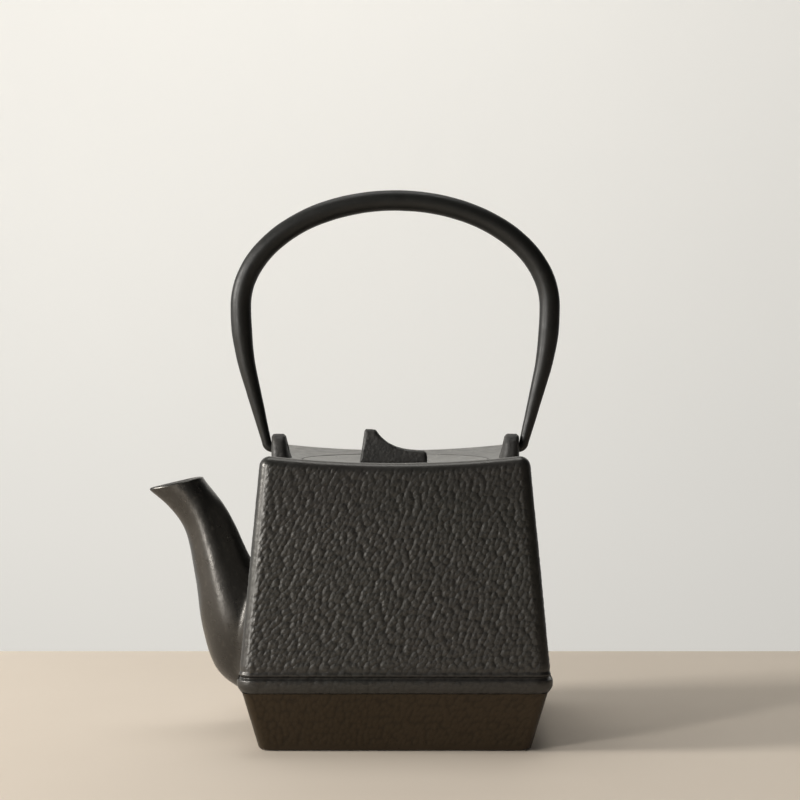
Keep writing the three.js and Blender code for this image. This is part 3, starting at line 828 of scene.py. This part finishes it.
def handle():
    right = bail_half()
    line = np.concatenate([right, right[-2::-1] * (-1, 1)])
    along = np.gradient(line, axis=0)
    along /= np.linalg.norm(along, axis=1)[:, None]
    rise = np.clip((line[:, 1] - PIVOT) / BAIL_SWELL, 0, 1)
    radius = PIN_RADIUS + (BAR_RADIUS - PIN_RADIUS) * rise
    turn = np.arange(64) / 64 * 2 * math.pi
    rings = []
    for (x, z), (way_x, way_z), r in zip(line, along, radius):
        out = r * np.cos(turn)
        rings.append(np.column_stack([x + way_z * out, r * np.sin(turn), z - way_x * out]))
    caps = []
    for ring, (way_x, way_z) in ((rings[0], -along[0]), (rings[-1], along[-1])):
        centre, push = ring.mean(axis=0), PIN_RADIUS * np.array([way_x, 0, way_z])
        caps.append([centre + (ring - centre) * math.cos(a) + push * math.sin(a) for a in (0.5, 0.95, 1.3)])
    made = new_object("bail", *skin([*caps[0][::-1], *rings, *caps[1]]))
    displace(made, lambda p: 0.06 * noise(p, 11, 71) + 0.04 * noise(p, 4, 72))
    return dress(made, "handle", handle_iron(), "handle_iron", "handle")


# ---- Strainer ----


def strainer_collar():
    low, high = box("strainer_collar")
    rim, wall_top = high[0], high[2] - STRAINER_SHEET
    outer = MOUTH_RADIUS - COLLAR_PLAY
    inner = outer - STRAINER_SHEET
    profile = [
        (inner, low[2]),
        (outer, low[2]),
        (outer, wall_top),
        (rim, wall_top),
        (rim, high[2]),
        (inner, high[2]),
        (inner, low[2] + 0.3),
    ]
    rings = revolve(soften(profile, [0.2, 0.9, 0.25, 0.25, 0.9]), 192)
    made = new_object("basket_collar", *skin(rings, closed=True))
    return dress(made, "strainer", stainless(), "stainless_steel", "strainer_collar")


def strainer_foot():
    low, high = box("strainer_foot_band")
    outer, inner, lip = high[0], high[0] - STRAINER_SHEET, high[0] - FOOT_LIP
    profile = [
        (lip, low[2]),
        (outer, low[2]),
        (outer, high[2]),
        (inner, high[2]),
        (inner, low[2] + STRAINER_SHEET),
        (lip, low[2] + STRAINER_SHEET),
        (lip, low[2] + 0.3),
    ]
    rings = revolve(soften(profile, [0.8, 0.25, 0.25, 0.5, 0.2]), 192)
    made = new_object("basket_foot", *skin(rings, closed=True))
    return dress(made, "strainer", stainless(), "stainless_steel", "strainer_foot_band")


def wires(made):
    """Turns a sheet of square faces into a mesh of wires."""
    modifier = made.modifiers.new("wires", "WIREFRAME")
    modifier.thickness = WIRE * MM
    modifier.use_even_offset = False
    apply_modifiers(made)
    made.data.shade_smooth()


def strainer_wall():
    low, high = box("strainer_mesh_wall")
    radius = high[0] - STRAINER_SHEET / 2
    profile = [(radius, z) for z in spaced(low[2] + 0.2, high[2] - 0.4, MESH_PITCH)]
    points, faces = skin(revolve(profile, 112))
    made = new_object("basket_wall", points, [face for face in faces if len(face) == 4])
    wires(made)
    return dress(made, "strainer", stainless(), "stainless_steel", "strainer_mesh_wall")


def strainer_base():
    low, high = box("strainer_mesh_base")
    radius, z = high[0] - STRAINER_SHEET / 2, (low[2] + high[2]) / 2
    count = int(radius / MESH_PITCH)
    line = np.arange(-count, count + 1) * MESH_PITCH
    index, points, faces = {}, [], []
    for i, j in itertools.product(range(len(line) - 1), repeat=2):
        corners = [(i, j), (i + 1, j), (i + 1, j + 1), (i, j + 1)]
        if max(math.hypot(line[a], line[b]) for a, b in corners) > radius:
            continue
        for corner in corners:
            if corner not in index:
                index[corner] = len(points)
                points.append((line[corner[0]], line[corner[1]], z))
        faces.append([index[corner] for corner in corners])
    made = new_object("basket_base", points, faces)
    wires(made)
    return dress(made, "strainer", stainless(), "stainless_steel", "strainer_mesh_base")


# ---- Materials ----


class Nodes:
    """A material's node tree with short ways to add to it. Its sizes and depths are in millimetres."""

    def __init__(self, name):
        self.material = bpy.data.materials.new(name)
        self.material.use_nodes = True
        self.tree = self.material.node_tree
        self.shader = self.tree.nodes["Principled BSDF"]
        self.place = self.add("ShaderNodeTexCoord").outputs["Object"]

    def add(self, kind, **values):
        node = self.tree.nodes.new(kind)
        for key, value in values.items():
            setattr(node, key, value)
        return node

    def link(self, source, target):
        self.tree.links.new(source, target)

    def noise(self, size, detail=3.0, rough=0.55):
        """Noise with features about `size` across."""
        node = self.add("ShaderNodeTexNoise")
        node.inputs["Scale"].default_value = 0.6 / (size * MM)
        node.inputs["Detail"].default_value = detail
        node.inputs["Roughness"].default_value = rough
        self.link(self.place, node.inputs["Vector"])
        return node.outputs["Fac"]

    def spread(self, source, low, high, to_low=0.0, to_high=1.0):
        """Maps low..high to to_low..to_high."""
        node = self.add("ShaderNodeMapRange")
        self.link(source, node.inputs["Value"])
        for key, value in (("From Min", low), ("From Max", high), ("To Min", to_low), ("To Max", to_high)):
            node.inputs[key].default_value = value
        return node.outputs["Result"]

    def math(self, operation, first, second):
        node = self.add("ShaderNodeMath", operation=operation)
        for source, target in ((first, node.inputs[0]), (second, node.inputs[1])):
            if isinstance(source, (int, float)):
                target.default_value = source
            else:
                self.link(source, target)
        return node.outputs[0]

    def mix(self, factor, first, second):
        """A colour between two, either of which may be a node's output."""
        node = self.add("ShaderNodeMix", data_type="RGBA")
        self.link(factor, node.inputs["Factor"])
        colours = [socket for socket in node.inputs if socket.type == "RGBA"]
        for source, target in zip((first, second), colours):
            if isinstance(source, tuple):
                target.default_value = (*source, 1)
            else:
                self.link(source, target)
        return next(socket for socket in node.outputs if socket.type == "RGBA")

    def bump(self, layers):
        """Stacks bumps, each as (height, depth)."""
        below = None
        for height, depth in layers:
            node = self.add("ShaderNodeBump")
            node.inputs["Strength"].default_value = 1.0
            node.inputs["Distance"].default_value = depth * MM
            self.link(height, node.inputs["Height"])
            if below is not None:
                self.link(below, node.inputs["Normal"])
            below = node.outputs["Normal"]
        self.link(below, self.shader.inputs["Normal"])

    def attribute(self, name, output):
        return self.add("ShaderNodeAttribute", attribute_name=name).outputs[output]

    def set(self, **values):
        """Sets the shader's own values, by their names with _ for each space."""
        for key, value in values.items():
            self.shader.inputs[key.replace("_", " ")].default_value = value


def shared(make):
    """Makes a material once, however often it is asked for."""
    made = []

    def once():
        if not made:
            made.append(make())
        return made[0]

    return once


# Painted shade for the pebbles' valleys.
VALLEY_SHADE = (0.004, 0.004, 0.0035)


def pebbled(name, dark, light, crest_highlight, specular):
    """Cast iron whose cells stand up as pebbles, with painted shade in the valleys and a painted highlight
    on the crests.
    """
    n = Nodes(name)
    cells = cell_pattern(n.tree.nodes)
    n.link(n.attribute("wrap", "Vector"), cells.inputs["Vector"])
    fall = n.math("POWER", n.math("DIVIDE", cells.outputs["Distance"], DOME), 2)
    dome = n.spread(fall, 0, 1, 1, 0)
    amount = n.attribute("pebbled", "Fac")
    height = n.math("ADD", n.math("MULTIPLY", dome, 0.8), n.math("MULTIPLY", n.noise(0.8, 3), 0.4))
    crest = n.math("MULTIPLY", amount, n.spread(height, 0.4, 1.0, -1, 1))
    slopes = n.mix(n.spread(n.noise(30, 2), 0.35, 0.65), dark, light)
    # Painted shade darkens the valleys, and a painted highlight brightens the crests.
    low = n.mix(n.spread(crest, -1, 0), VALLEY_SHADE, slopes)
    n.link(n.mix(n.spread(crest, 0.2, 0.9), low, crest_highlight), n.shader.inputs["Base Color"])
    rough = n.math("ADD", n.spread(n.noise(2.5, 4), 0.3, 0.7, 0.27, 0.37), n.math("MULTIPLY", amount, 0.10))
    n.link(n.math("SUBTRACT", rough, n.math("MULTIPLY", crest, 0.10)), n.shader.inputs["Roughness"])
    fine = n.math("MULTIPLY", n.spread(amount, 0, 1, 0.3, 1.0), n.noise(0.7, 3, 0.6))
    n.bump([(n.math("MULTIPLY", amount, dome), 0.165), (fine, 0.16)])
    n.set(Metallic=0.0, Specular_IOR_Level=specular)
    return n


@shared
def pebbled_iron():
    # The third colour is a painted highlight for the pebbles' crests.
    dark, light, crest_highlight = (0.0115, 0.012, 0.0102), (0.0147, 0.0133, 0.0123), (0.027, 0.026, 0.0235)
    n = pebbled("pebbled_iron", dark, light, crest_highlight, 0.64)
    n.set(Specular_Tint=(1.0, 0.97, 0.92, 1))
    return n.material


@shared
def base_iron_painted_reflection():
    # A browner copy of pebbled_iron with a brown specular tint: a painted reflection of the warm table on
    # the base's inward-sloping walls. Its third colour is a painted highlight for the crests.
    dark, light, crest_highlight = (0.019, 0.0135, 0.0078), (0.0245, 0.0172, 0.0106), (0.033, 0.024, 0.0155)
    n = pebbled("base_iron_painted_reflection", dark, light, crest_highlight, 0.36)
    n.set(Specular_Tint=(1.0, 0.82, 0.62, 1))
    return n.material


@shared
def smooth_iron():
    n = Nodes("smooth_iron")
    tint = n.mix(n.spread(n.noise(18, 3), 0.3, 0.7), (0.006, 0.0058, 0.0052), (0.010, 0.0095, 0.0085))
    speck = n.mix(n.spread(n.noise(0.9, 4), 0.55, 0.8), tint, (0.034, 0.031, 0.027))
    n.link(speck, n.shader.inputs["Base Color"])
    n.link(n.spread(n.noise(3.0, 4), 0.3, 0.7, 0.26, 0.33), n.shader.inputs["Roughness"])
    n.bump([(n.noise(1.5, 3), 0.07), (n.noise(0.7, 2), 0.045)])
    n.set(Metallic=0.0, Specular_IOR_Level=0.65, Specular_Tint=(1.0, 0.95, 0.88, 1))
    return n.material


@shared
def sand_iron():
    n = Nodes("sand_iron")
    tint = n.mix(n.spread(n.noise(4, 3), 0.3, 0.7), (0.015, 0.0145, 0.013), (0.028, 0.026, 0.023))
    speck = n.mix(n.spread(n.noise(0.5, 4), 0.55, 0.75), tint, (0.05, 0.046, 0.04))
    n.link(speck, n.shader.inputs["Base Color"])
    n.link(n.spread(n.noise(1.2, 4), 0.3, 0.7, 0.46, 0.66), n.shader.inputs["Roughness"])
    n.bump([(n.noise(0.7, 3, 0.65), 0.18)])
    n.set(Metallic=0.0, Specular_IOR_Level=0.55)
    return n.material


@shared
def handle_iron():
    n = Nodes("handle_iron")
    tint = n.mix(n.spread(n.noise(14, 3), 0.3, 0.7), (0.0055, 0.0055, 0.0048), (0.010, 0.010, 0.0088))
    speck = n.mix(n.spread(n.noise(0.6, 4), 0.6, 0.8), tint, (0.024, 0.023, 0.021))
    n.link(speck, n.shader.inputs["Base Color"])
    n.link(n.spread(n.noise(2.4, 4), 0.3, 0.7, 0.36, 0.50), n.shader.inputs["Roughness"])
    n.bump([(n.noise(1.9, 3), 0.08), (n.noise(0.45, 2), 0.03)])
    n.set(Metallic=0.0, Specular_IOR_Level=0.36)
    return n.material


@shared
def stainless():
    n = Nodes("stainless_steel")
    tint = n.mix(n.spread(n.noise(6, 3), 0.3, 0.7), (0.56, 0.56, 0.55), (0.66, 0.66, 0.65))
    n.link(tint, n.shader.inputs["Base Color"])
    n.link(n.spread(n.noise(1.0, 4), 0.3, 0.7, 0.22, 0.36), n.shader.inputs["Roughness"])
    n.bump([(n.noise(0.35, 2), 0.012)])
    n.set(Metallic=1.0)
    return n.material


@shared
def table_finish():
    n = Nodes("table_finish")
    n.link(n.mix(n.noise(60, 3), (0.64, 0.56, 0.47), (0.68, 0.60, 0.51)), n.shader.inputs["Base Color"])
    n.set(Roughness=0.8, Specular_IOR_Level=0.3)
    return n.material


@shared
def wall_finish():
    n = Nodes("wall_finish")
    n.link(n.mix(n.noise(300, 2), (0.80, 0.79, 0.76), (0.83, 0.82, 0.79)), n.shader.inputs["Base Color"])
    n.set(Roughness=0.9, Emission_Color=(0.98, 0.965, 0.93, 1), Emission_Strength=0.17)
    return n.material


# ---- Stage, light and camera ----


def slab(name, low, high, material):
    """A box of the stage, between two corners in millimetres."""
    corners = np.array(list(itertools.product(*zip(low, high))))
    faces = [(0, 1, 3, 2), (4, 6, 7, 5), (0, 4, 5, 1), (2, 3, 7, 6), (0, 2, 6, 4), (1, 5, 7, 3)]
    made = new_object(name, corners, faces)
    made.data.materials.append(material)


TEAPOT = (0, 0, 0.08)


def lamp(name, place, target, width, height, power, colour):
    """A rectangular lamp that faces its target. Its places and sizes are in metres."""
    light = bpy.data.lights.new(name, "AREA")
    light.shape, light.size, light.size_y = "RECTANGLE", width, height
    light.energy, light.color = power, colour
    made = bpy.data.objects.new(name, light)
    made.location = place
    made.rotation_euler = (Vector(target) - Vector(place)).to_track_quat("-Z", "Y").to_euler()
    bpy.context.scene.collection.objects.link(made)


def room_light():
    """Soft light all round. It is brightest to the left, behind and below, and darkest opposite."""
    world = bpy.data.worlds.new("studio")
    world.use_nodes = True
    nodes, links = world.node_tree.nodes, world.node_tree.links
    towards = nodes.new("ShaderNodeVectorMath")
    towards.operation = "DOT_PRODUCT"
    towards.inputs[1].default_value = (-0.72, 0.45, -0.53)
    strength = nodes.new("ShaderNodeMapRange")
    links.new(nodes.new("ShaderNodeTexCoord").outputs["Generated"], towards.inputs[0])
    links.new(towards.outputs["Value"], strength.inputs["Value"])
    for key, value in (("From Min", -0.75), ("From Max", 0.9), ("To Min", 0.03), ("To Max", 0.68)):
        strength.inputs[key].default_value = value
    background = nodes["Background"]
    background.inputs["Color"].default_value = (0.95, 0.95, 0.93, 1)
    links.new(strength.outputs["Result"], background.inputs["Strength"])
    bpy.context.scene.world = world


def studio():
    slab("table", (-1500, -1500, -30), (1500, 186, 0), table_finish())
    slab("wall", (-1300, 1500, -1500), (1300, 1530, 2500), wall_finish())
    room_light()
    lamp("key", (-1.35, -0.25, 0.55), TEAPOT, 0.3, 0.3, 20, (1.0, 0.97, 0.92))
    lamp("front", (-1.02, -0.97, 0.40), TEAPOT, 0.14, 0.7, 11.5, (1.0, 0.98, 0.95))
    lamp("wall_light", (-0.1, 0.4, 1.7), (-0.1, 1.5, 0.4), 1.0, 1.0, 11, (1.0, 0.99, 0.96))
    bpy.context.scene.view_settings.view_transform = "Standard"


CAMERA_DOWN = 1.36  # degrees below level


def camera():
    data = bpy.data.cameras.new("camera")
    data.sensor_width, data.lens = 36.0, 83.5
    made = bpy.data.objects.new("camera", data)
    made.location = (0.0019, -0.7475, 0.149)
    made.rotation_euler = (math.radians(90 - CAMERA_DOWN), 0, 0)
    bpy.context.scene.collection.objects.link(made)
    bpy.context.scene.camera = made


camera()
studio()
upper_body()
base_pan()
spout()
lug(1, "right")
lug(-1, "left")
lid()
knob()
rivet()
washer()
handle()
strainer_collar()
strainer_foot()
strainer_wall()
strainer_base()
